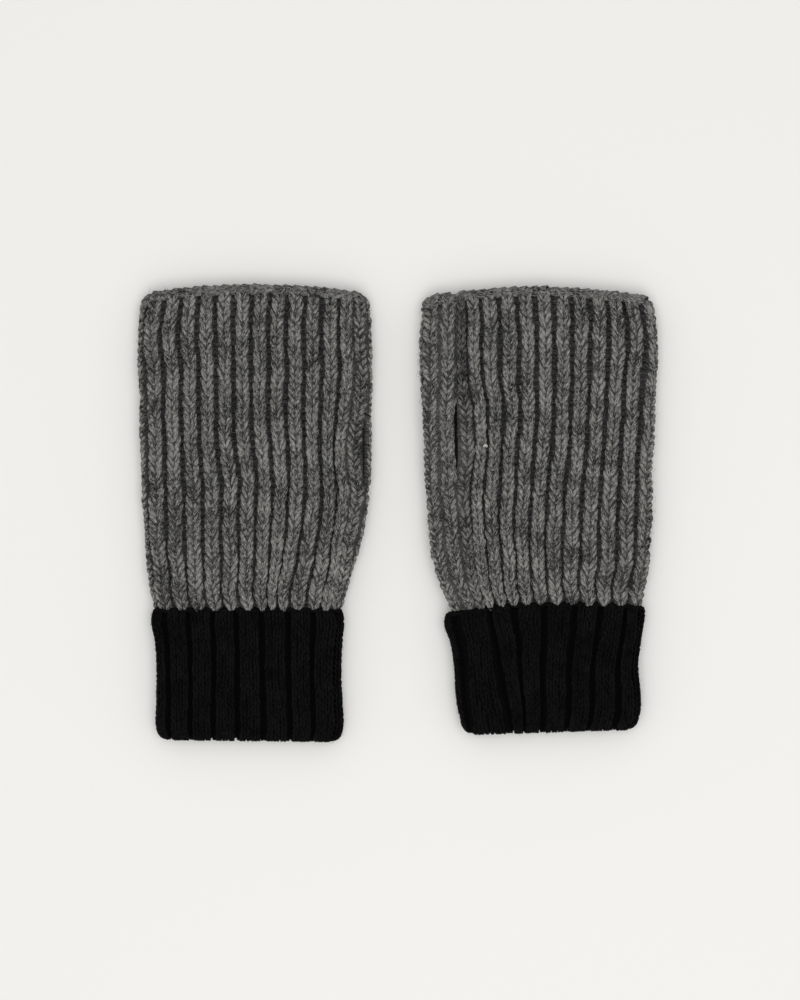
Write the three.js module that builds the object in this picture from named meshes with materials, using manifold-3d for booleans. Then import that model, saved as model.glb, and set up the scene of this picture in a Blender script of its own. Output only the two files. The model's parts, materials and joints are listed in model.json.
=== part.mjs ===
// A pair of knitted fingerless gloves lying flat side by side, backs of the hands up. Millimetres, +Z up.
// +Y runs from the cuffs to the finger openings, +X from the left-hand glove to the right-hand one, and the
// origin is under the middle of the pair. Each glove is a flattened tube: a grey ribbed hand, knitted flat
// and seamed on the thumb side with a slit left for the thumb, linked to a black cuff of folded ribbing.
import * as THREE from "three";
import { mergeVertices } from "three/addons/utils/BufferGeometryUtils.js";
import Module from "manifold-3d";

// Driving dimensions.
const thickness = 11.6; // of a glove lying flat, both layers and the air between them
const wall = 3.2; // of one layer of ribbed fabric
const foldRound = 3; // rounding of the folded sides and the open ends
const cavityRound = 1; // rounding of the hand space inside the folds
const clearance = 0.3; // between pieces that touch
const bandDepth = 3.8; // of the linked edge round the finger opening
const linkDepth = 1.8; // of the linking stitches between the hand and the cuff
const seamWidth = 2.4; // of an overcast seam
const tackLength = 1.4; // of the bar tack at each end of the thumb slit
const slitWidth = 4.8; // of the thumb slit, lying slightly open
const handCorner = 5; // rounding of the hand's corners in the plan
const cuffCorner = 6; // rounding of the cuff's corners in the plan
const past = 12; // how far a cutting solid runs past what it cuts
const stripHalf = 75; // half the width of a cutting strip, which is wider than any glove
const fingerEdgeHalf = 51.8; // half the width over which the finger edge bows
const wristHalf = 46.5; // half the width over which the linking seam bows
const foldReach = [20, 80]; // from the middle of a glove to the ends of a cutter through its side fold

// Each glove is drawn from the middle of its wrist seam. A row is the height along the hand, then the left
// and the right edge there, and the crown is how far an end bows out at its middle.
const gloves = {
  left: {
    at: [-65.5, -41.7],
    hand: {
      rows: [[-12, -41.1, 41.1], [4, -42, 42], [20, -44.8, 46.2], [48, -46.1, 52.2], [90, -47.7, 53.8],
        [123, -48.1, 54.3], [138.4, -47, 53.2]],
      crown: 3.4,
    },
    cuff: { rows: [[-58.4, -40.4, 41.4], [-32, -39.9, 40.5], [-1.2, -42.2, 41.6]], crown: 0 },
    wristBow: 0,
    slit: [52.3, 84.7],
    seamOnTop: null,
  },
  right: {
    at: [65, -40.8],
    hand: {
      rows: [[-12, -42, 42], [4, -43.4, 42.8], [20, -48.8, 45.7], [48, -52.6, 46.9], [90, -54.8, 48.2],
        [123, -55.4, 48.6], [135.4, -54.2, 47.4]],
      crown: 4.6,
    },
    cuff: { rows: [[-55.6, -39, 41.2], [-30, -40, 40.4], [-2.7, -43.8, 43.6]], crown: 3 },
    wristBow: 1.5,
    slit: [56, 90],
    seamOnTop: [[-5, -33], [30, -36], [56, -39.4], [145, -39.4]],
  },
};

const wool = new THREE.MeshStandardMaterial({ color: 0x70706e, roughness: 0.95, metalness: 0 });
const greyYarn = new THREE.MeshStandardMaterial({ color: 0x5f5f5e, roughness: 0.95, metalness: 0 });
const blackRib = new THREE.MeshStandardMaterial({ color: 0x131315, roughness: 0.9, metalness: 0 });
const blackYarn = new THREE.MeshStandardMaterial({ color: 0x0c0c0d, roughness: 0.85, metalness: 0 });

const wasm = await Module();
wasm.setup();

function solid(geometry) {
  geometry.deleteAttribute("normal");
  geometry.deleteAttribute("uv");
  const merged = mergeVertices(geometry, 1e-4);
  const vertProperties = new Float32Array(merged.attributes.position.array);
  const triVerts = new Uint32Array(merged.index.array);
  return new wasm.Manifold(new wasm.Mesh({ numProp: 3, vertProperties, triVerts }));
}

function mesh(name, body, material) {
  const { vertProperties, triVerts } = body.getMesh();
  const geometry = new THREE.BufferGeometry();
  geometry.setAttribute("position", new THREE.BufferAttribute(vertProperties, 3));
  geometry.setIndex(new THREE.BufferAttribute(triVerts, 1));
  const piece = new THREE.Mesh(geometry, material);
  piece.name = name;
  return piece;
}

// A flat outline with rounded corners, whose upper and lower ends bow out by their crowns.
function outline(rows, corner, crownTop, crownBottom) {
  const [low, lowLeft, lowRight] = rows[0];
  const [high, highLeft, highRight] = rows.at(-1);
  const between = rows.slice(1, -1);
  const shape = new THREE.Shape();
  shape.moveTo(lowLeft + corner, low);
  shape.quadraticCurveTo((lowLeft + lowRight) / 2, low - 2 * crownBottom, lowRight - corner, low);
  shape.quadraticCurveTo(lowRight, low, lowRight, low + corner);
  shape.splineThru([...between.map(([y, , x]) => new THREE.Vector2(x, y)),
    new THREE.Vector2(highRight, high - corner)]);
  shape.quadraticCurveTo(highRight, high, highRight - corner, high);
  shape.quadraticCurveTo((highLeft + highRight) / 2, high + 2 * crownTop, highLeft + corner, high);
  shape.quadraticCurveTo(highLeft, high, highLeft, high - corner);
  shape.splineThru([...between.map(([y, x]) => new THREE.Vector2(x, y)).reverse(),
    new THREE.Vector2(lowLeft, low + corner)]);
  shape.quadraticCurveTo(lowLeft, low, lowLeft + corner, low);
  return shape;
}

// A shape made thick in Z between two heights, with its edges rounded inwards.
function slab(shape, low, high, round) {
  const settings = { depth: high - low - 2 * round, curveSegments: 4, bevelEnabled: round > 0,
    bevelThickness: round, bevelSize: round, bevelOffset: -round, bevelSegments: 2 };
  return solid(new THREE.ExtrudeGeometry(shape, settings).translate(0, 0, low + round));
}

// The space for the hand: the same rows moved in by the wall, running out of both ends.
function cavity(rows) {
  const inner = rows.map(([y, left, right]) => [y, left + wall, right - wall]);
  const [low, lowLeft, lowRight] = inner[0];
  const [high, highLeft, highRight] = inner.at(-1);
  const longer = [[low - past, lowLeft, lowRight], ...inner, [high + past, highLeft, highRight]];
  return slab(outline(longer, handCorner, 0, 0), wall, thickness - wall, cavityRound);
}

// A line right across a cutting strip that has the same bow as an end of a glove, half as wide as given.
// It starts lower than the end by its drop, and its crown is larger, because the strip is wider.
function bowedLine(height, bow, half) {
  const widening = (stripHalf / half) ** 2;
  return { low: height - bow * (widening - 1), crown: bow * widening };
}

// A strip right across a glove between two bowed lines.
function acrossGlove(from, to, inset) {
  const shape = new THREE.Shape();
  shape.moveTo(-stripHalf, from.low);
  shape.quadraticCurveTo(0, from.low + 2 * from.crown, stripHalf, from.low);
  shape.lineTo(stripHalf, to.low);
  shape.quadraticCurveTo(0, to.low + 2 * to.crown, -stripHalf, to.low);
  return slab(shape, inset, thickness - inset, 0);
}

// A bar that runs through the wall along a side seam, between two heights along the glove. The seam is on
// the right-hand side fold, or follows a line in the upper layer.
function alongSeam(line, low, high, width) {
  const [inner, outer] = foldReach;
  const middle = (low + high) / 2;
  if (!line) {
    const bar = new THREE.BoxGeometry(outer - inner, high - low, width);
    return solid(bar.translate((inner + outer) / 2, middle, thickness / 2));
  }
  const near = line.map(([y, x]) => new THREE.Vector2(x - width / 2, y));
  const far = line.map(([y, x]) => new THREE.Vector2(x + width / 2, y)).reverse();
  const ribbon = slab(new THREE.Shape([...near, ...far]), thickness / 2, thickness + 1, 0);
  const stretch = new THREE.BoxGeometry(outer, high - low, thickness);
  return ribbon.intersect(solid(stretch.translate(-outer / 2, middle, thickness)));
}

// The thumb slit: a long slot with round ends through the wall, on the side fold or in the upper layer.
function thumbSlot(line, [low, high]) {
  const r = slitWidth / 2;
  const slot = new THREE.Shape();
  slot.absarc(0, high - r, r, 0, Math.PI, false);
  slot.absarc(0, low + r, r, Math.PI, 2 * Math.PI, false);
  const [inner, outer] = foldReach;
  const settings = { depth: outer - inner, curveSegments: 5, bevelEnabled: false };
  const through = new THREE.ExtrudeGeometry(slot, settings);
  if (line) return solid(through.translate(line[2][1], 0, thickness / 2));
  return solid(through.rotateY(Math.PI / 2).translate(inner, 0, thickness / 2));
}

function makeGlove(side, { at, hand, cuff, wristBow, slit, seamOnTop }) {
  const handTop = hand.rows.at(-1)[0];
  const atFingers = (height) => bowedLine(height, hand.crown, fingerEdgeHalf);
  const atWrist = (height) => bowedLine(height, wristBow, wristHalf);
  const beyond = { low: handTop + past, crown: 0 };
  const blank = slab(outline(hand.rows, handCorner, hand.crown, 0), 0, thickness, foldRound);
  const tube = blank.subtract(cavity(hand.rows));
  const bandLow = handTop - bandDepth;
  const linkTop = linkDepth / 2;

  const wallZone = acrossGlove(atWrist(linkTop + clearance), atFingers(bandLow - clearance), 0);
  const handWall = tube.intersect(wallZone);
  const groove = alongSeam(seamOnTop, -past, handTop + past, seamWidth + 2 * clearance);
  const panel = handWall.subtract(groove).subtract(thumbSlot(seamOnTop, slit));
  const band = tube.intersect(acrossGlove(atFingers(bandLow), beyond, clearance));
  const link = tube.intersect(acrossGlove(atWrist(-linkTop), atWrist(linkTop), clearance));

  const [slitLow, slitHigh] = slit;
  const onSeam = (low, high) => handWall.intersect(alongSeam(seamOnTop, low, high, seamWidth));
  const upperTackTop = slitHigh + clearance + tackLength;
  const lowerTackLow = slitLow - clearance - tackLength;
  const upperTack = onSeam(slitHigh + clearance, upperTackTop);
  const lowerTack = onSeam(lowerTackLow, slitLow - clearance);
  const upperSeam = onSeam(upperTackTop + clearance, handTop + past);
  const lowerSeam = onSeam(-past, lowerTackLow - clearance);

  const cuffBlank = slab(outline(cuff.rows, cuffCorner, cuff.crown, 0), 0, thickness, foldRound);
  const cuffTube = cuffBlank.subtract(cavity(cuff.rows));
  const cuffTop = cuff.rows.at(-1)[0] + past;
  const cuffLow = cuff.rows[0][0] - past;
  const cuffPiece = cuffTube.subtract(alongSeam(null, cuffLow, cuffTop, seamWidth + 2 * clearance));
  const cuffSeam = cuffTube.intersect(alongSeam(null, cuffLow, cuffTop, seamWidth));

  const group = new THREE.Group();
  group.position.set(at[0], at[1], 0);
  group.add(
    mesh(`${side}_hand_panel`, panel, wool),
    mesh(`${side}_finger_edge_band`, band, wool),
    mesh(`${side}_upper_side_seam`, upperSeam, greyYarn),
    mesh(`${side}_lower_side_seam`, lowerSeam, greyYarn),
    mesh(`${side}_slit_upper_tack`, upperTack, blackYarn),
    mesh(`${side}_slit_lower_tack`, lowerTack, greyYarn),
    mesh(`${side}_cuff_linking_seam`, link, blackYarn),
    mesh(`${side}_cuff`, cuffPiece, blackRib),
    mesh(`${side}_cuff_side_seam`, cuffSeam, blackYarn),
  );
  return group;
}

const group = new THREE.Group();
for (const [side, glove] of Object.entries(gloves)) group.add(makeGlove(side, glove));
export default group;
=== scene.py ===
import json
import math

import bpy
import numpy as np
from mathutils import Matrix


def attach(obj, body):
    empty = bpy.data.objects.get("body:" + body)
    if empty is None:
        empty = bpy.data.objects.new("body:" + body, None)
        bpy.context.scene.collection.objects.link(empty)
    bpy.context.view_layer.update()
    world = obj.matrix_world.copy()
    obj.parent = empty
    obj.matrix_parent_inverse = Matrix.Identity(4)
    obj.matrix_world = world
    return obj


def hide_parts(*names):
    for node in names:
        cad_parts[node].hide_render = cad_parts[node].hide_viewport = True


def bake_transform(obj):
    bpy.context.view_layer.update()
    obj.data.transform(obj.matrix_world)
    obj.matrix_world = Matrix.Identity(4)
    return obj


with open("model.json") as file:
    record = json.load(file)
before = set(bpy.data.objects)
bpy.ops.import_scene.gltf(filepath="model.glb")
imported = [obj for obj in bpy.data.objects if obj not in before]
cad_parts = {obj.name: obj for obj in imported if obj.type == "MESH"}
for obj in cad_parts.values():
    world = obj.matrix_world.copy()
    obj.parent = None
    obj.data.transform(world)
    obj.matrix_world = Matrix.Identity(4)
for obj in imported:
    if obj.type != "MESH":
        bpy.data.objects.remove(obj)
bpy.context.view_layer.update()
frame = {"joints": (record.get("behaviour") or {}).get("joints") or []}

MM = 0.001
RNG = np.random.default_rng(7)

# Driving sizes, in millimetres.
LYING_HEIGHT = 11.6      # of a glove lying flat
FLOOR = -LYING_HEIGHT / 2  # z of the floor in a glove's own frame, which starts half way up the glove
LAYER = 1.4              # thickness of the ground fabric
DROP_REACH = 14.0        # the upper layer lies lower over this distance from an open end

HAND_LENGTH = 141.0      # along the hand, from the linking seam to the finger edge
HAND_RELIEF = 2.3        # from the ground of the hand fabric to the top of its stitches
HAND_ROLL = 1.3          # radius of the ground of the hand where its finger edge is turned in
HAND_TURNED_IN = 6.0     # length turned in at the finger edge, and tucked under the cuff
FINGER_DROP = 2.6        # how much lower the upper layer lies at the finger edge
COURSE = 3.22            # height of one stitch of the hand
RIB_PITCH = 7.79         # from rib to rib of the hand
FRONT_ZONE = 12.0        # from the side seam to the first valley, over the side lying up
BACK_ZONE = 7.3          # and over the side lying down
BAND_DEPTH = 3.9         # of the linked edge round the finger opening

CUFF_LENGTH = 57.0       # along the cuff, from the linking seam to its folded end
CUFF_RELIEF = 1.5        # from the ground of the cuff to the top of its stitches
CUFF_ROLL = 1.7          # radius of the ground of the cuff where its ends are folded in
CUFF_START = CUFF_ROLL * (1 - math.pi / 2)  # the distance along at which the ground of the cuff starts
CUFF_TURNED_IN = 16.0    # length of the cuff that is folded back inside and shows there
CUFF_DROP = 1.4          # how much lower the upper layer lies at the cuff's end
CUFF_COURSE = 2.4        # height of one stitch of the cuff
CUFF_RIDGE = 10.75       # from ridge to ridge of the cuff, where nothing else sets it
CUFF_COLUMN = 2.85       # from column to column of a ridge, at most
CUFF_FURROW = 2.2        # width of a furrow between ridges
NARROW_RIDGE = 8.0       # a ridge narrower than this has two columns of stitches, and not three
WIDE_RIDGE = 15.0        # and one wider than this has four

FOLD_SQUARENESS = 2.3    # how square the folds at the sides are; 2 is round
HAND_FOLD = 1.25         # width of the folds of the hand, as a share of half the thickness
CUFF_FOLD = 0.85         # and of the cuff
WRIST_SPREAD = 70.0      # the ribs crowd together from here down to the wrist
FIBRE = 0.045            # half the thickness of a loose fibre

GRID_STEP = 0.8          # from row to row of the grids that the ground surfaces are worked out on
GRID_COLUMNS = 601       # points round them
QUARTER = 60             # points round a quarter of a flattened tube
HAND_COLUMNS = 208       # faces round the ground fabric of the hand
CUFF_COLUMNS = 204       # and of the cuff
TOP_DETAIL = (7, 7)      # rings and sides of a leg of a stitch on the side lying up
LIP_DETAIL = (6, 6)      # on the lips of the slit
UNDER_DETAIL = (5, 5)    # on the side lying down
CUFF_DETAIL = (4, 5)     # and on the cuff


def smooth(t):
    """A smooth step from 0 to 1 as t goes from 0 to 1."""
    t = np.clip(t, 0.0, 1.0)
    return t * t * (3 - 2 * t)


def hump(x, middle, width):
    """1 at the middle, falling off over the width to either side."""
    return np.exp(-((x - middle) / width) ** 2)


def unit(vectors):
    return vectors / np.linalg.norm(vectors, axis=-1, keepdims=True)


def through(rows, y):
    """The columns of rows at heights y, on smooth curves through the rows."""
    rows = np.array(rows, float)
    at, values = rows[:, 0], rows[:, 1:]
    slope = np.gradient(values, at, axis=0)
    y = np.clip(np.asarray(y, float), at[0], at[-1])
    i = np.clip(np.searchsorted(at, y, side="right") - 1, 0, len(at) - 2)
    step = (at[i + 1] - at[i])[:, None]
    t = (y - at[i])[:, None] / step
    before = (1 + 2 * t) * (1 - t) ** 2 * values[i] + t * (1 - t) ** 2 * step * slope[i]
    after = t * t * (3 - 2 * t) * values[i + 1] - t * t * (1 - t) * step * slope[i + 1]
    return (before + after).T


class Surface:
    """A flattened tube: points by the share u of the way round from the thumb-side seam, and by the
    distance q along it. Its points are a grid, and anything on it is placed between them."""

    def __init__(self, points, q, side, girth):
        self.points, self.q, self.side, self.girth = points, q, side, girth
        self.normals = unit(np.cross(np.gradient(points, axis=1), np.gradient(points, axis=0)) * side)

    def _mix(self, grid, u, q):
        """The grid's values at u and q, mixed from the four grid points round each."""
        rows, columns = grid.shape[:2]
        x = np.clip(u, 0, 1) * (columns - 1)
        y = np.clip((q - self.q[0]) / (self.q[1] - self.q[0]), 0, rows - 1)
        i = np.minimum(x.astype(int), columns - 2)
        j = np.minimum(y.astype(int), rows - 2)
        s = (x - i)[..., None]
        t = (y - j)[..., None]
        low = grid[j, i] * (1 - s) + grid[j, i + 1] * s
        high = grid[j + 1, i] * (1 - s) + grid[j + 1, i + 1] * s
        return low * (1 - t) + high * t

    def at(self, u, q, height=0.0):
        """Points at a height above the surface, and the surface's normals there."""
        u, q = np.broadcast_arrays(np.asarray(u, float), np.asarray(q, float))
        normal = unit(self._mix(self.normals, u, q))
        lift = np.broadcast_to(np.asarray(height, float), u.shape)[..., None]
        return self._mix(self.points, u, q) + normal * lift, normal


def cross_section(low, high, half_height, seam_at, u, fold, inward=0.0):
    """x and z at the shares u round a tube flattened between x = low and high, and its girth. It starts
    at the seam, which is in the upper layer, seam_at from the low edge. The points are then drawn in
    towards the middle layer by the distance inward."""
    bend = fold * half_height
    power = 2 / FOLD_SQUARENESS
    quarter = np.linspace(0, math.pi / 2, QUARTER)
    out = bend * np.cos(quarter) ** power
    up = half_height * np.sin(quarter) ** power
    x = np.concatenate([low + bend - out, high - bend + out[::-1],
                        high - bend + out[1:], low + bend - out[::-1]])
    z = np.concatenate([up, up[::-1], -up[1:], -up[::-1]])
    along = np.concatenate([[0], np.cumsum(np.hypot(np.diff(x), np.diff(z)))])
    upper = 2 * QUARTER
    start = np.interp(low + seam_at, x[:upper], along[:upper])
    where = (start + u * along[-1]) % along[-1]
    x = np.interp(where, along, x)
    z = np.interp(where, along, z)
    flat = np.clip(x, low + bend, high - bend)
    return flat + (x - flat) * (1 - inward / bend), z * (1 - inward / half_height), along[-1]


# Each glove, in its own frame: x is 0 at the middle of the wrist and negative on the thumb side, y runs
# from the linking seam to the fingers, and side mirrors x. Both thumb sides face the gap between the gloves.
#   hand, cuff               rows of the distance along, the thumb-side edge and the far edge
#   seam, cuff_seam_at       rows of the distance along and the side seam's x, and the cuff seam's place
#                            from the thumb-side edge, or if it is below 0 from the far edge
#   finger_edge              y of the finger edge, from -1 at the thumb-side edge to 1 at the far edge
#   wrist, cuff_end          y of the linking seam and of the cuff's end
#   cuff_corners             how far the cuff's two corners are drawn up
#   lean, cuff_lean          how far the ribs of the upper layer lean aside
#   front, cuff_furrows      how far round from the seam the ribs of the side lying up go, and how far
#                            from the cuff's seam its furrows on that side are
#   slit, opening, closing   the slit's ends along the hand, how far its lips part in front and behind,
#                            and how far its lower end is closed again
#   bulge, pucker            how far the front lip bulges, and how far the fabric above it is drawn in
#   lip_lit_share, lip_furrow how much of the lip's colour its painted shade leaves, and how deep the furrow
#   beside it is, which also deepens the painted shade there
#   tuck_shade               how flat the lip's column is above the slit, and how much painted shade darkens it there
#   upper_tack               wool, half-width, thickness, number of wraps and height of the upper tack
GLOVES = {
    "left": dict(
        side=-1,
        hand=[(-6, -41.3, 41.3), (0, -41.3, 41.3), (6, -42.4, 42.4), (18, -45.5, 44.6), (30, -49.3, 45.4),
              (45, -52.6, 46), (60, -53.6, 46.6), (90, -53.8, 47.7), (123, -54.6, 48.1), (142, -53.2, 47)],
        cuff=[(0, -41.6, 42), (4, -42.2, 42.6), (14, -41.6, 41.1), (28, -41.1, 40.4), (42, -41.7, 40.6),
              (52, -42, 40.8), (58, -40.6, 39.6)],
        finger_edge=lambda n: 141.0 - 4.2 * n ** 2,
        wrist=lambda x: -0.3 - 0.0002 * x * x,
        cuff_end=lambda x: -57.0 + 0.012 * x,
        cuff_lean=lambda x, share: 0.8 * share * np.sin(x / 9),
        cuff_seam_at=1.2,
        upper_tack=("black_yarn", 1.8, 0.24, 1, 2.2),
        cuff_furrows=[0, 10.6, 21.1, 32.6, 43, 53, 63.4, 73.4],
        cuff_corners=(0.9, 0.9),
        front=106,
        seam=[(-6, -38.6), (6, -39.5), (18, -43), (45, -49.6), (60, -51.4), (90, -52), (142, -51.2)],
        lean=lambda x, y: (
            -4.8 * (1 - smooth(y / 90)) * (hump(x, 3, 28) + 0.5 * hump(x, -32, 8))
            + 2.6 * (1 - smooth(y / 30)) * hump(x, -15, 8)),
        slit=(56, 87.6),
        opening=(1.3, 0.7),
        closing=0.0,
        bulge=2.6,
        lip_lit_share=1.0,
        lip_furrow=0.2,
        tuck_shade=0.05,
        pucker=0,
    ),
    "right": dict(
        side=1,
        hand=[(-6, -42.2, 42), (0, -42.2, 42), (6, -43.7, 43.2), (18, -47.9, 45.6), (31, -50.8, 46.8),
              (57, -53.2, 46.9), (90, -54.7, 48.1), (123, -56.3, 48.6), (140, -55.2, 47.4)],
        cuff=[(0, -44.6, 43.8), (4, -44.9, 43.4), (14, -42.2, 42), (28, -40.5, 40.5), (42, -39.7, 41.5),
              (50, -38.4, 41.5), (57, -37, 40)],
        finger_edge=lambda n: 139.2 - 4.4 * np.abs(n) ** 1.5 - 1.5 * hump(n, -0.71, 0.03),
        wrist=lambda x: 1.4 - 0.0019 * (x - 8) ** 2,
        cuff_end=lambda x: -54.2 + 0.03 * x,
        cuff_lean=lambda x, share: (share - 0.5) * (
            9.5 * hump(x, -19, 9)
            - (3.2 + 1.5 * smooth(x / 15)) * (1 - smooth((np.abs(x) - 28) / 10))),
        cuff_seam_at=-1.2,
        upper_tack=("yarn", 1.5, 0.3, 2, 1.2),
        cuff_furrows=[0, 6.8, 18, 27.9, 40, 49.5, 58, 74.6],
        cuff_corners=(2.4, 1.4),
        front=90,
        seam=[(-6, -29.5), (0, -29.5), (10, -32.8), (24, -35.6), (42, -38.3), (56, -39.3), (90, -39.4),
              (142, -39.4)],
        lean=lambda x, y: -4.4 * np.exp(-(np.maximum(y - 25, 0) / 23) ** 2 - ((x - 4) / 32) ** 2),
        slit=(58, 94.5),
        opening=(0.9, 0.8),
        closing=0.8,
        bulge=2.4,
        lip_lit_share=0.75,
        lip_furrow=0.8,
        tuck_shade=0.42,
        pucker=1.5,
    ),
}


def rolled(q, length, roll):
    """How far along a tube and how far inwards its fabric is at the distances q, when its end at length
    rolls inwards and the fabric runs back inside."""
    phi = np.clip((q - (length - roll)) / roll, 0, math.pi)
    back = np.maximum(q - (length - roll) - math.pi * roll, 0)
    along = np.where(phi > 0, length - roll + roll * np.sin(phi) - back, q)
    return along, roll * (1 - np.cos(phi))


def pressed(z, along, length, drop):
    """z of a tube whose upper layer lies lower towards its end, and whose lower layer stays on the floor."""
    share = 1 - drop / LYING_HEIGHT * smooth((along - length + DROP_REACH) / DROP_REACH)
    return FLOOR + (z - FLOOR) * share


def girth_at(rows, along, relief, fold):
    """Length round the ground of a tube whose edges are in rows, at the distance along."""
    low, high = (edge[0] for edge in through(rows, [along]))
    return cross_section(low + relief, high - relief, LYING_HEIGHT / 2 - relief, 1, np.zeros(1), fold)[2]


def hand_surface(glove):
    """The ground of the hand fabric, before its ribs, from inside the cuff to inside the finger edge."""
    relief = HAND_RELIEF
    tucked_in = 1.4
    corner_width = 0.14
    corner_fall = 5
    q = np.arange(-HAND_TURNED_IN - 1, HAND_LENGTH + HAND_TURNED_IN + 2, GRID_STEP)
    u = np.linspace(0, 1, GRID_COLUMNS)
    along, inward = rolled(q, HAND_LENGTH, HAND_ROLL)
    inward += tucked_in * smooth(-(q - 0.5) / 2.5)
    low, high = through(glove["hand"], along)
    seam, = through(glove["seam"], along)
    grid = np.zeros((len(q), len(u), 3))
    for row, (a, b) in enumerate(zip(low + relief, high - relief)):
        seam_at = max(seam[row] - a, 0.3)
        x, z, _ = cross_section(a, b, LYING_HEIGHT / 2 - relief, seam_at, u, HAND_FOLD, inward[row])
        off = np.clip((x - (a + b) / 2) / ((b - a) / 2 + relief), -1, 1)
        corner = smooth((np.abs(off) - (1 - corner_width)) / corner_width)
        top = glove["finger_edge"](off) - corner_fall * corner ** 2
        start = glove["wrist"](x)
        y = start + (top - start) * along[row] / HAND_LENGTH
        x = x + smooth(z / 2 + 0.5) * (1 - off ** 2) ** 0.5 * glove["lean"](x, y)
        z = pressed(z, along[row], HAND_LENGTH, FINGER_DROP)
        grid[row] = np.stack([x, y, z], axis=1)
    girth = girth_at(glove["hand"], 110, relief, HAND_FOLD)
    open_slit(grid, q, u * girth, glove)
    settle(grid, glove)
    grid[:, :, 0] *= glove["side"]
    return Surface(grid, q, glove["side"], girth)


def cuff_surface(glove):
    """The outer face of the ground of the cuff, from under the linking seam, round the folded end, and
    back up inside."""
    roll, relief = CUFF_ROLL, CUFF_RELIEF
    corner_width = 0.16
    below_linking = 0.2
    q = np.arange(CUFF_START, CUFF_LENGTH + CUFF_TURNED_IN, GRID_STEP)
    u = np.linspace(0, 1, GRID_COLUMNS)
    along, inward = rolled(q, CUFF_LENGTH, roll)
    phi = np.clip((roll - q) / roll, 0, math.pi / 2) * (q < roll)
    along = np.where(q < roll, roll - roll * np.sin(phi) * 1.2, along)
    inward += roll * (1 - np.cos(phi))
    low, high = through(glove["cuff"], along)
    grid = np.zeros((len(q), len(u), 3))
    for row, (a, b) in enumerate(zip(low + relief, high - relief)):
        seam_at = glove["cuff_seam_at"] % (b - a)
        x, z, _ = cross_section(a, b, LYING_HEIGHT / 2 - relief, seam_at, u, CUFF_FOLD, inward[row])
        share = along[row] / CUFF_LENGTH
        start = glove["wrist"](x) - below_linking
        off = (x - (a + b) / 2) / ((b - a) / 2 + relief)
        corner = smooth((np.abs(off) - (1 - corner_width)) / corner_width)
        end = glove["cuff_end"](x) + corner * np.where(off < 0, *glove["cuff_corners"])
        upper = smooth(z / 2 + 0.5)
        x = x + upper * glove["cuff_lean"](x, share)
        z = pressed(z, along[row], CUFF_LENGTH, CUFF_DROP)
        grid[row] = np.stack([x, start + (end - start) * share, z], axis=1)
    grid[:, :, 0] *= glove["side"]
    return Surface(grid, q, -glove["side"], girth_at(glove["cuff"], 30, relief, CUFF_FOLD))


def open_slit(grid, q, s, glove):
    """Parts the fabric along the thumb slit, and makes the lips bulge. s is the distance round."""
    low, high = glove["slit"]
    front, back = glove["opening"]
    t = (q - (low + high) / 2) / ((high - low) / 2)
    closing = 1 - glove["closing"] * (1 - smooth((q - low) / 14))
    gape = (np.sqrt(np.clip(1 - t ** 4, 0, 1)) * closing)[:, None]
    swell = hump(t, 0, 1.15)[:, None]
    above = smooth((q - high + 4) / 8)[:, None]
    near = s[None, :]
    far = (s[-1] - s)[None, :]
    beside = near / 8 * np.exp(1 - near / 8)
    grid[:, :, 0] += gape * front * np.exp(-near / 7) - gape * back * np.exp(-far / 7)
    grid[:, :, 0] += (swell * glove["bulge"] - above * glove["pucker"]) * beside
    grid[:, :, 2] += swell * 0.9 * hump(near, 3, 5)


def settle(grid, glove):
    """Slow unevenness of fabric that lies loosely."""
    x, y = grid[:, :, 0], grid[:, :, 1]
    side = glove["side"]
    upper = smooth(grid[:, :, 2] / 3)
    wave = np.sin(x / 17 + side) * np.sin(y / 29 + 1.3 * side) + 0.5 * np.sin(x / 9 + y / 23)
    grid[:, :, 2] += 0.35 * wave * upper
    grid[:, :, 0] += 0.25 * np.sin(y / 11 + x / 15) + 0.15 * np.sin(y / 5.3 + x / 8)


def make_mesh(name, points, faces, strand, lit_share=None):
    """A smooth mesh from points in the glove's frame, in mm, and rows of corner indices. What would be
    below the floor is pressed flat on it."""
    points = np.array(points, float)
    points[:, 2] = np.maximum(points[:, 2], FLOOR)
    corners = np.concatenate([np.asarray(f).ravel() for f in faces])
    sizes = np.concatenate([np.full(len(f), np.asarray(f).shape[1]) for f in faces])
    mesh = bpy.data.meshes.new(name)
    mesh.vertices.add(len(points))
    mesh.vertices.foreach_set("co", (points * MM).astype(np.float32).ravel())
    mesh.loops.add(len(corners))
    mesh.loops.foreach_set("vertex_index", corners.astype(np.int32))
    mesh.polygons.add(len(sizes))
    starts = np.concatenate([[0], np.cumsum(sizes)[:-1]])
    mesh.polygons.foreach_set("loop_start", starts.astype(np.int32))
    mesh.polygons.foreach_set("use_smooth", np.ones(len(sizes), bool))
    mesh.update(calc_edges=True)
    layer = mesh.attributes.new("strand", "FLOAT_VECTOR", "POINT")
    layer.data.foreach_set("vector", np.asarray(strand, np.float32).ravel())
    # lit_share: 1 where the wool keeps its own colour, lower where its painted shade colour is mixed in.
    layer = mesh.attributes.new("lit_share", "FLOAT", "POINT")
    lit_share = np.ones(len(points)) if lit_share is None else lit_share
    layer.data.foreach_set("value", np.asarray(lit_share, np.float32).ravel())
    mesh.validate()
    piece = bpy.data.objects.new(name, mesh)
    bpy.context.scene.collection.objects.link(piece)
    return piece


def strand_faces(rings, sides):
    """The quads and the end triangles of a closed strand: rings of points, and then a point at each end."""
    k, m = np.arange(rings - 1)[:, None], np.arange(sides)[None, :]
    n = (m + 1) % sides
    quads = np.stack([k * sides + n, k * sides + m, (k + 1) * sides + m, (k + 1) * sides + n], axis=2)
    m, n = m[0], n[0]
    start = np.full(sides, rings * sides)
    last_ring = (rings - 1) * sides
    first = np.stack([start, m, n], axis=1)
    last = np.stack([start + 1, last_ring + n, last_ring + m], axis=1)
    return quads.reshape(-1, 4), np.concatenate([first, last])


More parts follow.
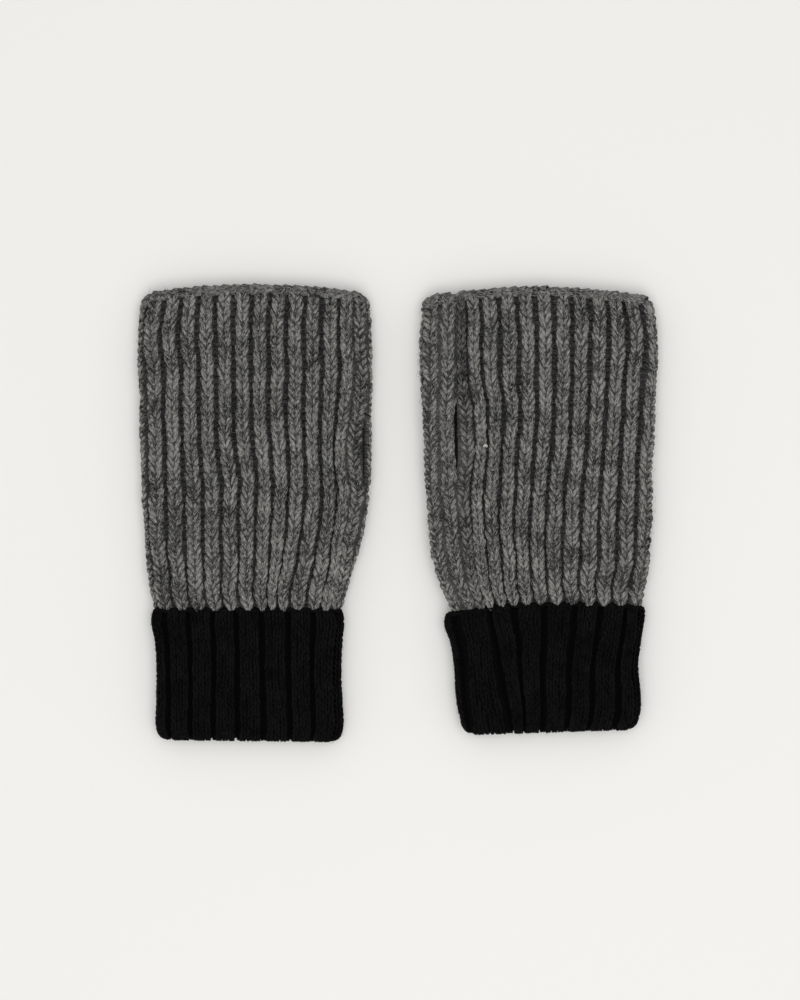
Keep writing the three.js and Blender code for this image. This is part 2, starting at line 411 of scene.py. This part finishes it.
def petals(surface, u, q, path, sides):
    """Closed strands lying on a surface. u and q place each strand, and path holds, for each strand and
    each of its rings, the distance across, along and above, the half-width and the half-height.
    Returns points, quads, triangles and strand coordinates: the distance along, the distance across and
    a number that is different for each strand."""
    count, rings = path.shape[:2]
    across, along, above, wide, tall = np.moveaxis(path, 2, 0)
    centre, normal = surface.at(u[:, None] + across * (1 / surface.girth), q[:, None] + along, above)
    tangent = unit(np.gradient(centre, axis=1))
    sideways = unit(np.cross(tangent, normal))
    up = np.cross(sideways, tangent)
    angle = np.linspace(0, 2 * math.pi, sides, endpoint=False)
    ring = (sideways[:, :, None] * (np.cos(angle)[:, None] * wide[:, :, None, None])
            + up[:, :, None] * (np.sin(angle)[:, None] * tall[:, :, None, None]))
    body = centre[:, :, None] + ring
    ends = np.stack([centre[:, 0] - tangent[:, 0] * wide[:, 0, None] * 0.7,
                     centre[:, -1] + tangent[:, -1] * wide[:, -1, None] * 0.7], axis=1)
    points = np.concatenate([body.reshape(count, rings * sides, 3), ends], axis=1)
    each = rings * sides + 2
    quads, caps = strand_faces(rings, sides)
    offset = (np.arange(count) * each)[:, None, None]
    quads = (quads[None] + offset).reshape(-1, 4)
    caps = (caps[None] + offset).reshape(-1, 3)
    steps = np.linalg.norm(np.diff(centre, axis=1), axis=2)
    length = np.concatenate([np.zeros((count, 1)), np.cumsum(steps, axis=1)], axis=1)
    tag = RNG.random(count) * 100
    strand = np.zeros((count, each, 3))
    strand[:, :-2, 0] = np.repeat(length, sides, axis=1)
    strand[:, -1, 0] = length[:, -1]
    strand[:, :-2, 1] = (np.cos(angle) * wide[:, :, None]).reshape(count, -1)
    strand[:, :, 2] = tag[:, None]
    return points.reshape(-1, 3), quads, caps, strand.reshape(-1, 3)


def join(parts):
    """One set of points, faces and strand coordinates from several."""
    points, faces, strands, offset = [], {}, [], 0
    for p, quads, caps, strand in parts:
        points.append(p)
        strands.append(strand)
        faces.setdefault(4, []).append(quads + offset)
        faces.setdefault(3, []).append(caps + offset)
        offset += len(p)
    return np.concatenate(points), [np.concatenate(f) for f in faces.values()], np.concatenate(strands)


# One leg of a knit stitch. Each row is the share of its length, then the distances across (in half
# columns), along (in stitches) and above, the half-width and the half-height, in mm.
LEG = [
    (0.00, 0.08, -0.50, 0.3, 0.45, 0.5),
    (0.22, 0.25, -0.02, 1.25, 0.80, 0.75),
    (0.48, 0.48, 0.44, 1.6, 0.90, 0.8),
    (0.74, 0.70, 0.88, 1.3, 0.85, 0.75),
    (1.00, 0.80, 1.38, 0.3, 0.5, 0.5),
]

# One leg of a chain stitch, by the same five measures. Across is in stitches, and along in its reach.
CHAIN_LEG = [
    (-0.85, -0.5, -0.3, 0.5, 0.5),
    (-0.4, -0.40, 0.75, 0.95, 0.9),
    (0.15, -0.12, 1.0, 1.05, 1.0),
    (0.65, 0.2, 0.8, 0.9, 0.85),
    (1.05, 0.42, -0.3, 0.5, 0.5),
]


def sway(q, columns, amount):
    """A slow sideways wander along the distance q, different for each column: the sum of three waves."""
    phase = RNG.random((3, columns, 1)) * 2 * math.pi
    length = np.array([31.0, 14.0, 7.5])[:, None, None]
    weight = np.array([0.6, 0.4, 0.3])[:, None, None]
    return amount * (weight * np.sin(2 * math.pi * q / length + phase)).sum(axis=0)


def knit_legs(surface, columns, rows, course, half_width, rings, sides,
              height=1.0, size=1.0, wobble=0.07, spread=0.2):
    """Both legs of every stitch in columns (shares round) at rows (distances along). half_width is one
    for all the columns or one for each, and spread widens it where the ribs crowd together at the wrist."""
    base = through(LEG, np.linspace(0, 1, rings)).T
    half = np.repeat(np.broadcast_to(half_width, len(columns)), len(rows))
    u, q = np.meshgrid(columns, rows, indexing="ij")
    u = (u + sway(q, len(columns), wobble * 5) / surface.girth).ravel()
    q = (q + sway(q, len(columns), wobble * 5)).ravel()
    parts = []
    for hand in (-1, 1):
        n = len(u)
        path = np.repeat(base[None], n, axis=0)
        path = path * (1 + wobble * RNG.standard_normal((n, 1, 5)))
        path[:, :, 0] *= (half * hand * (1 + spread * (1 - smooth(q / WRIST_SPREAD))))[:, None]
        path[:, :, 1] *= course
        path[:, :, 2] *= height
        path[:, :, 3:] *= size
        shift_u = wobble * 1.5 * RNG.standard_normal(n) / surface.girth
        shift_q = wobble * 4.0 * RNG.standard_normal(n)
        parts.append(petals(surface, u + shift_u, q + shift_q, path, sides))
    return parts


def hand_valleys(surface, glove):
    """Distances round, from the seam, of the valleys between the ribs of the hand. The last one is faint."""
    girth = surface.girth
    front = np.arange(FRONT_ZONE, glove["front"], RIB_PITCH)
    rest = girth - BACK_ZONE - front[-1]
    return np.concatenate([front[:-1], front[-1] + np.linspace(0, rest, round(rest / RIB_PITCH) + 1)])


def hand_stitches(name, glove, surface):
    """The knit stitches of the hand: one column on each rib, fewer points on those lying down, two
    columns on either side of the seam, and the columns of the slit's lips, which are darkened with painted
    shade."""
    girth = surface.girth
    low, high = glove["slit"]
    valleys = hand_valleys(surface, glove)
    ribs = (valleys[1:] + valleys[:-1]) / 2
    rows = np.arange(0.7, HAND_LENGTH - BAND_DEPTH + COURSE * 0.3, COURSE)
    in_slit = rows[(rows > low) & (rows < high - COURSE)]
    upper = ribs < girth * 0.56
    upper[-1] = False
    half_width = 2.92
    before_seam = np.array([8.8]) / girth
    after_seam = np.array([ribs[-1], girth - 3.9]) / girth
    front_lip = np.array([3.0]) / girth
    back_lip = np.array([girth - 0.9]) / girth
    parts = knit_legs(surface, ribs[upper] / girth, rows, COURSE, half_width, *TOP_DETAIL)
    parts += knit_legs(surface, ribs[~upper][:-1] / girth, rows, COURSE, half_width, *UNDER_DETAIL,
                       height=0.75)
    parts += knit_legs(surface, before_seam, rows, COURSE, 2.6, *TOP_DETAIL, height=0.95)
    parts += knit_legs(surface, after_seam, rows + COURSE * 0.4, COURSE, 3.25, *TOP_DETAIL, spread=0)
    count = sum(len(part[0]) for part in parts)
    parts += knit_legs(surface, front_lip, rows, COURSE * 0.8, 2.4, *LIP_DETAIL, height=0.9, size=0.95)
    parts += knit_legs(surface, back_lip, in_slit, COURSE, 0.9, *LIP_DETAIL, height=0.8, size=0.75)
    points, faces, strand = join(parts)
    # The lip stitches take painted shade: lip_lit_share all along, and more from the tuck above the slit.
    above = points[count:, 1] > high + 4
    lit_share = np.concatenate([np.ones(count), glove["lip_lit_share"] * (1 - glove["tuck_shade"] * above)])
    return make_mesh(name, points, faces, strand, lit_share)


def fabric(name, surface, q, columns, split, relief):
    """A closed layer of ground fabric at the distances q along a surface. Between the distances in split
    it is open at the seam. relief(s, q) gives how far its outer face is raised, and its lit share
    from 0 to 1: how much of its colour is left by the painted shade of the furrows."""
    u = np.linspace(0, 1, columns + 1)
    grid_u, grid_q = np.meshgrid(u, q)
    height, rib = relief(grid_u * surface.girth, grid_q)
    outer = surface.at(grid_u, grid_q, height)[0]
    inner = surface.at(grid_u, grid_q, -LAYER)[0]
    rows = len(q)
    index = np.arange(rows * (columns + 1)).reshape(rows, columns + 1)
    open_rows = (q > split[0]) & (q < split[1])
    index[~open_rows, -1] = index[~open_rows, 0]
    total = rows * (columns + 1)
    a, b, c, d = index[:-1, :-1], index[:-1, 1:], index[1:, 1:], index[1:, :-1]
    outside = np.stack([a, b, c, d], axis=2).reshape(-1, 4)
    inside = outside[:, ::-1] + total
    lips = np.nonzero(open_rows[:-1] | open_rows[1:])[0]
    edges = np.concatenate([
        np.stack([index[0, 1:], index[0, :-1]], axis=1),
        np.stack([index[-1, :-1], index[-1, 1:]], axis=1),
        np.stack([index[lips, 0], index[lips + 1, 0]], axis=1),
        np.stack([index[lips + 1, -1], index[lips, -1]], axis=1),
    ])
    rim = np.stack([edges[:, 0], edges[:, 1], edges[:, 1] + total, edges[:, 0] + total], axis=1)
    faces = np.concatenate([outside, inside, rim])
    if surface.side < 0:
        faces = faces[:, ::-1]
    points = np.concatenate([outer.reshape(-1, 3), inner.reshape(-1, 3)])
    used, faces = np.unique(faces, return_inverse=True)
    strand = np.stack([grid_u * surface.girth, grid_q, np.zeros_like(grid_q)], axis=2).reshape(-1, 3)
    strand = np.concatenate([strand, strand])[used]
    # The inner face takes half the painted furrow shade.
    lit_share = np.concatenate([rib.ravel(), 0.5 + 0 * rib.ravel()])[used]
    return make_mesh(name, points[used], [faces.reshape(-1, 4)], strand, lit_share)


def hand_fabric(name, glove, surface):
    """The ground of the hand, with its ribs, the bars of purl stitches in its furrows, and painted shade in
    the furrows that is lighter on the bars' tops.
    """
    valleys = hand_valleys(surface, glove)
    low, high = glove["slit"]
    valley_width = 2.2
    rib_height = 2.2
    valley_depth = 1.0
    bar_light = 0.6

    def relief(s, q):
        off = np.abs(s[..., None] - valleys[:-1]).min(axis=-1)
        off = off * (1 + 0.4 * (1 - smooth(q / WRIST_SPREAD)))
        # rib sets both the height and the lit share, so the lip's furrow, the tuck and the lip zone make the
        # ground both lower and darker with painted shade.
        rib = smooth(off / valley_width) * (1 - glove["lip_furrow"] * hump(s, 5.8, 0.8))
        rib = rib * (1 - glove["tuck_shade"] * smooth((q - high) / 4) * smooth((6.5 - s) / 1.5))
        rib = rib * (1 - 0.2 * (s < 5.5))
        bump = np.cos(2 * math.pi * q / COURSE)
        edge = smooth((HAND_LENGTH - 4 - q) / 3) * smooth((q + 1) / 3)
        # The tops of the purl bars take less of the painted furrow shade.
        bars = bar_light * (1 - rib) * np.clip(bump, 0, 1)
        return edge * (rib_height * rib - valley_depth + (1.3 - rib) * 0.3 * bump), rib + bars

    step = COURSE / 4
    below = np.arange(-HAND_TURNED_IN, low, step)
    beside = np.linspace(low, high, 41)
    above = np.arange(high + 0.7, HAND_LENGTH + HAND_TURNED_IN + 1, step)
    q = np.concatenate([below, beside, above])
    return fabric(name, surface, q, HAND_COLUMNS, (low, high), relief)


def cuff_columns(surface, glove):
    """Distances round, from the seam, of the furrows of the cuff and of the columns of its ridges, and
    how far apart the columns are."""
    front = glove["cuff_furrows"]
    rest = surface.girth + front[0] - front[-1]
    furrows = np.concatenate([front[:-1], front[-1] + np.linspace(0, rest, round(rest / CUFF_RIDGE) + 1)])
    if glove["cuff_seam_at"] < 0:
        furrows = (surface.girth - furrows)[::-1]
    columns, spacing = [], []
    for low, high in zip(furrows, furrows[1:]):
        count = 3 + (high - low > WIDE_RIDGE) - (high - low < NARROW_RIDGE)
        apart = min(CUFF_COLUMN, (high - low - CUFF_FURROW) / count)
        columns += [(low + high) / 2 + apart * (k - (count - 1) / 2) for k in range(count)]
        spacing += [apart] * count
    return furrows, np.array(columns), np.array(spacing)


def cuff_fabric(name, glove, surface):
    """The ground of the cuff, with its ridges, its furrows and the bars in them, and painted shade in the
    furrows.
    """
    furrows = cuff_columns(surface, glove)[0]

    def relief(s, q):
        off = np.abs(s[..., None] - furrows).min(axis=-1)
        top = smooth((off - 0.2) / 1.5)
        # top is also the lit share: the furrows take painted shade.
        return 1.2 * top - 0.7 + (1 - top) * 0.25 * np.cos(2 * math.pi * q / CUFF_COURSE), top

    q = np.arange(CUFF_START, CUFF_LENGTH + CUFF_TURNED_IN - 1, CUFF_COURSE / 3)
    return fabric(name, surface, q, CUFF_COLUMNS, (0, 0), relief)


def cuff_stitches(name, glove, surface):
    """The knit stitches of the cuff, closer together where its end is folded in."""
    columns, spacing = cuff_columns(surface, glove)[1:]
    half_width = 0.474 * spacing
    roll_at = CUFF_LENGTH - 2 * CUFF_ROLL
    closer = 0.62 * CUFF_COURSE
    body_rows = np.arange(0.3, roll_at, CUFF_COURSE)
    end_rows = np.arange(roll_at, CUFF_LENGTH + 7, closer)
    parts = []
    for course, rows in ((CUFF_COURSE, body_rows), (closer, end_rows)):
        parts += knit_legs(surface, columns / surface.girth, rows, course, half_width, *CUFF_DETAIL,
                           height=0.62, size=0.62, wobble=0.05, spread=0)
    points, faces, strand = join(parts)
    return make_mesh(name, points, faces, strand)


def loose_fibres(name, surface, count, length, stands, low, high):
    """Fine fibres that stand off the fabric, all but underneath."""
    u, q = RNG.random(count), low + (high - low) * RNG.random(count)
    keep = surface.at(u, q)[0][:, 2] > 1.0 + FLOOR + stands
    u, q = u[keep], q[keep]
    share = np.linspace(0, 1, 6)[None, :]
    aim = 2 * math.pi * RNG.random((len(u), 1))
    reach = length * (0.4 + 0.6 * RNG.random((len(u), 1)))
    curl = 1.2 * RNG.standard_normal((len(u), 1)) * share
    rise = stands * (0.4 + 0.6 * RNG.random((len(u), 1)))
    across = reach * share * np.cos(aim + curl)
    along = reach * share * np.sin(aim + curl)
    above = 1.2 + rise * np.sin(share * math.pi * 0.7)
    thick = np.full_like(across, FIBRE)
    path = np.stack([across, along, above, thick, thick], axis=2)
    points, quads, caps, strand = petals(surface, u, q, path, 3)
    return make_mesh(name, points, [quads, caps], strand)


def strand_tube(path, radius, sides=7):
    """A closed round strand along a path of points: what petals returns, for this one strand."""
    path = np.asarray(path, float)
    aslant = [0.13, 0.31, 0.94]  # a direction that no path here runs in
    tangent = unit(np.gradient(path, axis=0))
    sideways = unit(np.cross(tangent, aslant))
    up = np.cross(sideways, tangent)
    angle = np.linspace(0, 2 * math.pi, sides, endpoint=False)[:, None]
    ring = sideways[:, None] * np.cos(angle) * radius + up[:, None] * np.sin(angle) * radius
    points = np.concatenate([(path[:, None] + ring).reshape(-1, 3), path[:1] - tangent[:1] * radius * 0.6,
                             path[-1:] + tangent[-1:] * radius * 0.6])
    quads, caps = strand_faces(len(path), sides)
    length = np.concatenate([[0], np.cumsum(np.linalg.norm(np.diff(path, axis=0), axis=1))])
    strand = np.zeros((len(points), 3))
    strand[:-2, 0] = np.repeat(length, sides)
    strand[:-2, 1] = np.tile(np.cos(angle[:, 0]) * radius, len(path))
    strand[-1, 0] = length[-1]
    strand[:, 2] = RNG.random() * 100
    return points, quads, caps, strand


def on_seam(surface, q, aside, height):
    """Points beside the side seam: aside is in mm, from the back (negative) to the front."""
    q, aside = np.broadcast_arrays(np.asarray(q, float), np.asarray(aside, float))
    share = aside / surface.girth
    front_edge = surface.at(0 * q, q, height)[0]
    back_edge = surface.at(0 * q + 1, q, height)[0]
    middle = (front_edge + back_edge) / 2
    front = surface.at(np.maximum(share, 0), q, height)[0]
    back = surface.at(1 + np.minimum(share, 0), q, height)[0]
    return np.where(aside[..., None] > 0, front + middle - front_edge, back + middle - back_edge)


def seam_yarn(name, surface, low, high, course, radius, height, reach):
    """One yarn that overcasts the side seam from low to high."""
    q = np.arange(low, high, course / 8)
    turn = 2 * math.pi * q / course
    along = q + 0.25 * course * np.sin(2 * turn)
    path = on_seam(surface, along, reach * np.sin(turn), height + 0.25 * np.cos(2 * turn))
    points, quads, caps, strand = strand_tube(path, radius)
    return make_mesh(name, points, [quads, caps], strand)


def tack(name, surface, q, reach, radius, wraps, height):
    """Wraps of yarn across the seam, at one end of the slit."""
    parts = []
    for wrap in range(wraps):
        aside = np.linspace(-reach, reach, 9)
        lift = height + 0.9 * (1 - (aside / reach) ** 2) - 0.5
        lean = 0.35 * (wraps - 1) * aside / reach + (wrap - (wraps - 1) / 2) * radius * 1.7
        parts.append(strand_tube(on_seam(surface, q + lean, aside, lift), radius))
    points, faces, strand = join(parts)
    return make_mesh(name, points, faces, strand)


def pale_fleck(name, surface):
    """A nub of pale yarn caught in the side of a rib, near the right slit."""
    round_at, along_at = 11.0, 71.8
    turn = np.linspace(0, 0.9 * math.pi, 10)
    s = round_at + 0.8 * np.cos(turn)
    q = along_at + 0.9 * np.sin(turn)
    path = surface.at(s / surface.girth, q, 2.3 + 0.5 * np.sin(turn / 2))[0]
    points, quads, caps, strand = strand_tube(path, 0.5)
    return make_mesh(name, points, [quads, caps], strand)


def edge_chain(name, surface, q, step, reach, height, radius, shade=1.0, sides=6):
    """A chain of stitches that runs round the tube at the distance q: leaning legs laid end to end.
    step is the length of a stitch, and reach half the width of the chain."""
    count = round(surface.girth / step)
    at = (np.arange(count) + 0.5) / count
    base = np.array(CHAIN_LEG)
    parts = []
    for hand in (-1, 1):
        path = np.repeat(base[None], count, axis=0) * (1 + 0.06 * RNG.standard_normal((count, 1, 5)))
        path[:, :, 0] *= step
        path[:, :, 1] = (path[:, :, 1] * 0.9 + 0.52) * reach * hand
        path[:, :, 2] = path[:, :, 2] * height
        path[:, :, 3:] *= radius
        u = at + 0.02 * hand / count
        along = np.full(count, q) + 0.1 * RNG.standard_normal(count)
        parts.append(petals(surface, u, along, path, sides))
    points, faces, strand = join(parts)
    # shade is the chain's lit share: below 1 it mixes in the wool's painted shade colour and darkens the
    # chain.
    return make_mesh(name, points, faces, strand, np.full(len(points), shade))


def new_node(tree, kind, **inputs):
    """A new node of a material, with the values of some of its inputs. _ stands for a space."""
    node = tree.nodes.new(kind)
    set_inputs(node, **inputs)
    return node


def set_inputs(node, **inputs):
    for name, value in inputs.items():
        node.inputs[name.replace("_", " ")].default_value = value


def strand_noise(tree, strand, stretch, detail):
    """Noise over a strand's coordinates. stretch is how fine it is along and across the strand, and how
    much it changes from strand to strand."""
    scaled = tree.nodes.new("ShaderNodeVectorMath")
    scaled.operation = "MULTIPLY"
    scaled.inputs[1].default_value = stretch
    node = new_node(tree, "ShaderNodeTexNoise", Scale=1.0, Detail=detail, Roughness=0.65)
    tree.links.new(strand.outputs["Vector"], scaled.inputs[0])
    tree.links.new(scaled.outputs[0], node.inputs["Vector"])
    return node.outputs["Fac"]


def add_weighted(tree, a, b, weight):
    """a + b * weight."""
    node = tree.nodes.new("ShaderNodeMath")
    node.operation = "MULTIPLY_ADD"
    node.inputs[1].default_value = weight
    tree.links.new(b, node.inputs[0])
    tree.links.new(a, node.inputs[2])
    return node.outputs[0]


def furrow_shade_colour(tree, colour, furrow_shade, flecks):
    """The given colour where the mesh's lit share is 1, and the flecked painted shade colour of the furrows
    where it is 0, mixed between the two."""
    darkest, lightest = 0.2, 3.0
    lit_share = tree.nodes.new("ShaderNodeAttribute")
    lit_share.attribute_name = "lit_share"
    deep = new_node(tree, "ShaderNodeMixRGB",
                    Color1=(*(darkest * part for part in furrow_shade), 1),
                    Color2=(*(lightest * part for part in furrow_shade), 1))
    contrast = new_node(tree, "ShaderNodeMapRange", From_Min=0.35, From_Max=0.65)
    mix = tree.nodes.new("ShaderNodeMixRGB")
    tree.links.new(flecks, contrast.inputs["Value"])
    tree.links.new(contrast.outputs["Result"], deep.inputs["Fac"])
    tree.links.new(deep.outputs["Color"], mix.inputs["Color1"])
    tree.links.new(lit_share.outputs["Fac"], mix.inputs["Fac"])
    tree.links.new(colour, mix.inputs["Color2"])
    return mix.outputs["Color"]


def wool_material(name, dark, light, bump, furrow_shade=None, sheen=0.0):
    """Spun wool: flecks and fibres drawn out along the strand, and slow patches across the fabric. With
    furrow_shade, it takes that painted shade colour where the mesh's lit share is below 1."""
    material = bpy.data.materials.new(name)
    material.use_nodes = True
    tree = material.node_tree
    shader = tree.nodes["Principled BSDF"]
    set_inputs(shader, Roughness=0.95, Specular_IOR_Level=0.06, Sheen_Weight=sheen, Sheen_Roughness=0.5)
    strand = tree.nodes.new("ShaderNodeAttribute")
    strand.attribute_name = "strand"
    fibres = strand_noise(tree, strand, (0.8, 3.4, 1.0), 3)
    flecks = strand_noise(tree, strand, (0.6, 1.4, 1.7), 1)
    place = tree.nodes.new("ShaderNodeTexCoord")
    patches = new_node(tree, "ShaderNodeTexNoise", Scale=130, Detail=1)
    tree.links.new(place.outputs["Object"], patches.inputs["Vector"])
    shade = add_weighted(tree, add_weighted(tree, fibres, flecks, 0.4), patches.outputs["Fac"], 0.3)
    ramp = tree.nodes.new("ShaderNodeValToRGB")
    for element, position, colour in zip(ramp.color_ramp.elements, (0.73, 1.0), (dark, light)):
        element.position = position
        element.color = (*colour, 1)
    tree.links.new(shade, ramp.inputs["Fac"])
    colour = ramp.outputs["Color"]
    if furrow_shade is not None:
        colour = furrow_shade_colour(tree, colour, furrow_shade, flecks)
    tree.links.new(colour, shader.inputs["Base Color"])
    dent = new_node(tree, "ShaderNodeBump", Strength=bump, Distance=0.0004)
    tree.links.new(fibres, dent.inputs["Height"])
    tree.links.new(dent.outputs["Normal"], shader.inputs["Normal"])
    return material


# The wools: the name, the darkest and the lightest colour, the strength of the bump, and for some the
#  painted shade colour that is mixed in where the mesh's lit share is below 1, and the sheen.
WOOLS = {
    "wool": dict(name="grey_wool", dark=(0.012, 0.0117, 0.0113), light=(0.322, 0.315, 0.300), bump=1.0,
                 furrow_shade=(0.016, 0.0157, 0.0165), sheen=0.08),
    # Painted darker than the grey wool, for the shade on the ground between the stitches, with more painted
    # shade in the furrows.
    "ground": dict(name="grey_wool_shaded_ground", dark=(0.02, 0.0195, 0.019), light=(0.11, 0.107, 0.103), bump=0.6,
                   furrow_shade=(0.013, 0.0127, 0.0137)),
    "pale": dict(name="pale_yarn", dark=(0.25, 0.24, 0.225), light=(0.62, 0.6, 0.57), bump=0.6),
    "yarn": dict(name="dark_yarn", dark=(0.02, 0.02, 0.02), light=(0.12, 0.118, 0.113), bump=0.8),
    "black_yarn": dict(name="black_yarn", dark=(0.0008, 0.0008, 0.0008), light=(0.006, 0.006, 0.006),
                       bump=0.8),
    "black": dict(name="black_wool", dark=(0.0008, 0.0008, 0.0008), light=(0.0072, 0.0072, 0.0072),
                  bump=0.8, sheen=0.009),
    # Painted darker than the black wool, for the shade on the ground between the stitches, with more painted
    # shade in the furrows.
    "black_ground": dict(name="black_wool_shaded_ground", dark=(0.0006, 0.0006, 0.0006), light=(0.002, 0.002, 0.002),
                         bump=0.5, furrow_shade=(0.0003, 0.0003, 0.0003)),
}


def make_glove(side, glove, wools):
    """All the pieces of one glove. Each hides the CAD node that it stands for, if it stands for one, and
    those beyond the fold go on the hand's body.
    """
    hinge = next(j for j in frame["joints"] if j["name"] == f"{side}_wrist_fold")["pos_m"]
    hand = hand_surface(glove)
    cuff = cuff_surface(glove)
    low, high = glove["slit"]
    seam_yarn_sizes = dict(course=COURSE, radius=0.45, height=0.3, reach=0.9)
    tack_wool, *tack_sizes = glove["upper_tack"]

    ground = hand_fabric(f"{side}_hand_fabric", glove, hand)
    cuff_ground = cuff_fabric(f"{side}_cuff_fabric", glove, cuff)
    stitches = hand_stitches(f"{side}_hand_stitches", glove, hand)
    cuff_knit = cuff_stitches(f"{side}_cuff_stitches", glove, cuff)
    fibres = loose_fibres(f"{side}_hand_fibres", hand, count=1700, length=3.0, stands=1.9,
                          low=2, high=HAND_LENGTH - 1)
    cuff_fibres = loose_fibres(f"{side}_cuff_fibres", cuff, count=450, length=1.8, stands=0.9,
                               low=2, high=CUFF_LENGTH)
    upper_tack = tack(f"{side}_upper_tack_thread", hand, high + 0.6, *tack_sizes)
    edge = edge_chain(f"{side}_finger_edge_chain", hand, q=HAND_LENGTH - 1.7, step=4.4, reach=1.9,
                      height=1.1, radius=1.1, shade=0.82)
    upper_seam = seam_yarn(f"{side}_upper_seam_yarn", hand, low=high + 3,
                           high=HAND_LENGTH - BAND_DEPTH + 3, **seam_yarn_sizes)
    lower_seam = seam_yarn(f"{side}_lower_seam_yarn", hand, low=-0.5, high=low - 3, **seam_yarn_sizes)
    lower_tack = tack(f"{side}_lower_tack_thread", hand, low - 0.6, reach=1.5, radius=0.3, wraps=2,
                      height=1.0)
    linking = edge_chain(f"{side}_linking_chain", cuff, q=0.2, step=2.6, reach=1.0, height=0.5, radius=0.7)
    cuff_seam = seam_yarn(f"{side}_cuff_seam_yarn", cuff, low=0.5, high=CUFF_LENGTH + 5,
                          course=CUFF_COURSE, radius=0.35, height=0.3, reach=0.6)

    # Each piece, the CAD node that it stands for if it stands for one, and its wool.
    pieces = [
        (ground, "hand_panel", "ground"),
        (stitches, None, "wool"),
        (fibres, None, "wool"),
        (cuff_fibres, None, "black"),
        (edge, "finger_edge_band", "wool"),
        (upper_seam, "upper_side_seam", "yarn"),
        (lower_seam, "lower_side_seam", "yarn"),
        (upper_tack, "slit_upper_tack", tack_wool),
        (lower_tack, "slit_lower_tack", "yarn"),
        (linking, "cuff_linking_seam", "black"),
        (cuff_ground, "cuff", "black_ground"),
        (cuff_knit, None, "black"),
        (cuff_seam, "cuff_side_seam", "black"),
    ]
    beyond_fold = [edge, upper_seam, upper_tack, lower_tack]
    if side == "right":
        fleck = pale_fleck("right_upper_pale_fleck", hand)
        pieces.append((fleck, None, "pale"))
        beyond_fold.append(fleck)

    # Each piece is set at the hinge, takes its wool and hides the CAD node that it stands for; the pieces
    # beyond the fold go on the hand's body, and the rest are fixed where they lie.
    for piece, node, wool in pieces:
        piece.data.materials.append(wools[wool])
        piece.location = (hinge[0], hinge[1], LYING_HEIGHT / 2 * MM)
        if node:
            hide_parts(f"{side}_{node}")
        if piece in beyond_fold:
            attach(piece, f"{side}_hand")
        else:
            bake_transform(piece)


def make_floor():
    """A plain pale floor under the gloves."""
    half = 3.0
    corners = [(-half, -half, 0), (half, -half, 0), (half, half, 0), (-half, half, 0)]
    mesh = bpy.data.meshes.new("floor")
    mesh.from_pydata(corners, [], [(0, 1, 2, 3)])
    floor = bpy.data.objects.new("floor", mesh)
    bpy.context.scene.collection.objects.link(floor)
    material = bpy.data.materials.new("floor_paper")
    material.use_nodes = True
    shader = material.node_tree.nodes["Principled BSDF"]
    set_inputs(shader, Base_Color=(0.86, 0.85, 0.83, 1), Roughness=0.9, Specular_IOR_Level=0.1)
    mesh.materials.append(material)


def make_lights():
    """A bright white room, and one broad lamp above and a little in front of the gloves."""
    scene = bpy.context.scene
    scene.view_settings.view_transform = "Standard"
    world = bpy.data.worlds.new("studio")
    scene.world = world
    world.use_nodes = True
    set_inputs(world.node_tree.nodes["Background"], Color=(1, 1, 1, 1), Strength=0.7)
    light = bpy.data.lights.new("overhead", "AREA")
    light.energy = 11.8
    light.size = 1.6
    lamp = bpy.data.objects.new("overhead", light)
    lamp.location = (0.1, -0.35, 1.6)
    scene.collection.objects.link(lamp)


def make_camera():
    """A camera straight above, which takes in so many metres from top to bottom at the gloves' middle."""
    height = 1.5
    seen = 0.4376
    sensor = 36
    data = bpy.data.cameras.new("camera")
    data.sensor_width = sensor
    data.lens = sensor * (height - 0.006) / seen
    camera = bpy.data.objects.new("camera", data)
    camera.location = (0.001, 0.0056, height)
    bpy.context.scene.collection.objects.link(camera)
    bpy.context.scene.camera = camera


make_camera()
make_lights()
make_floor()
wools = {key: wool_material(**facts) for key, facts in WOOLS.items()}
for side, glove in GLOVES.items():
    make_glove(side, glove, wools)
